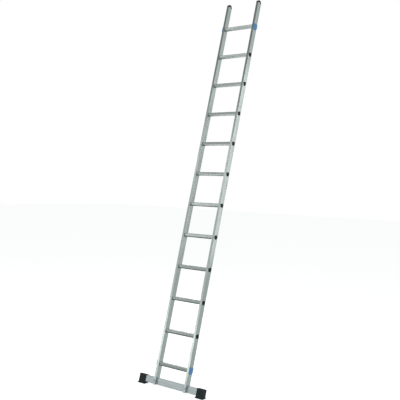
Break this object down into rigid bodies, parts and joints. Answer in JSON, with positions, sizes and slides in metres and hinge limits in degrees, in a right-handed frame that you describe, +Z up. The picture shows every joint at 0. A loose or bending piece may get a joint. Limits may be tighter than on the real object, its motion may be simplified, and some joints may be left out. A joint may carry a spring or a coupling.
{
  "type": "leaning ladder",
  "caption": "Single-section aluminium leaning ladder with box stiles, round-bellied rungs, a wide stabiliser crossbar on rubber feet and plastic end caps.",
  "frame": {"origin": "on the floor, at the centre of the footprint of the leaning ladder (under its middle height)", "axes": "+Z up from the floor; X across the ladder, along the rungs; the ladder leans towards +Y at 75 degrees to the floor, and the climber stands at -Y; the mirror plane is X = 0"},
  "size_m": [0.692, 0.9526, 3.4047],
  "materials": {
    "stile_aluminium": "mill-finish extruded, satin",
    "rung_aluminium": "mill-finish extruded, smooth and slightly brighter",
    "crossbar_aluminium": "mill-finish extruded, satin",
    "sleeve_aluminium": "sawn tube",
    "black_plastic": "moulded, fine grain",
    "blue_plastic": "moulded, semi-gloss",
    "foot_rubber": "moulded, matt",
    "zinc_steel": "zinc plated"
  },
  "bodies": {
    "root": {"crossbar": "crossbar_aluminium", "crossbar_bolts": "zinc_steel", "crossbar_foot_left": "foot_rubber", "crossbar_foot_right": "foot_rubber", "crossbar_nuts": "zinc_steel", "crossbar_spacer_sleeves": "sleeve_aluminium", "crossbar_washers": "zinc_steel", "foot_screws": "zinc_steel", "rung_01": "rung_aluminium", "rung_01_cap_left": "blue_plastic", "rung_01_cap_right": "blue_plastic", "rung_02": "rung_aluminium", "rung_02_plug_left": "black_plastic", "rung_02_plug_right": "black_plastic", "rung_03": "rung_aluminium", "rung_03_plug_left": "black_plastic", "rung_03_plug_right": "black_plastic", "rung_04": "rung_aluminium", "rung_04_plug_left": "black_plastic", "rung_04_plug_right": "black_plastic", "rung_05": "rung_aluminium", "rung_05_plug_left": "black_plastic", "rung_05_plug_right": "black_plastic", "rung_06": "rung_aluminium", "rung_06_plug_left": "black_plastic", "rung_06_plug_right": "black_plastic", "rung_07": "rung_aluminium", "rung_07_plug_left": "black_plastic", "rung_07_plug_right": "black_plastic", "rung_08": "rung_aluminium", "rung_08_plug_left": "black_plastic", "rung_08_plug_right": "black_plastic", "rung_09": "rung_aluminium", "rung_09_plug_left": "black_plastic", "rung_09_plug_right": "black_plastic", "rung_10": "rung_aluminium", "rung_10_plug_left": "black_plastic", "rung_10_plug_right": "black_plastic", "rung_11": "rung_aluminium", "rung_11_plug_left": "black_plastic", "rung_11_plug_right": "black_plastic", "rung_12": "rung_aluminium", "rung_12_cap_left": "blue_plastic", "rung_12_cap_right": "blue_plastic", "stile_end_plug_left": "black_plastic", "stile_end_plug_right": "black_plastic", "stile_left": "stile_aluminium", "stile_right": "stile_aluminium", "stile_spacer_sleeves": "sleeve_aluminium", "stile_top_cap_left": "black_plastic", "stile_top_cap_right": "black_plastic"}
  },
  "joints": []
}
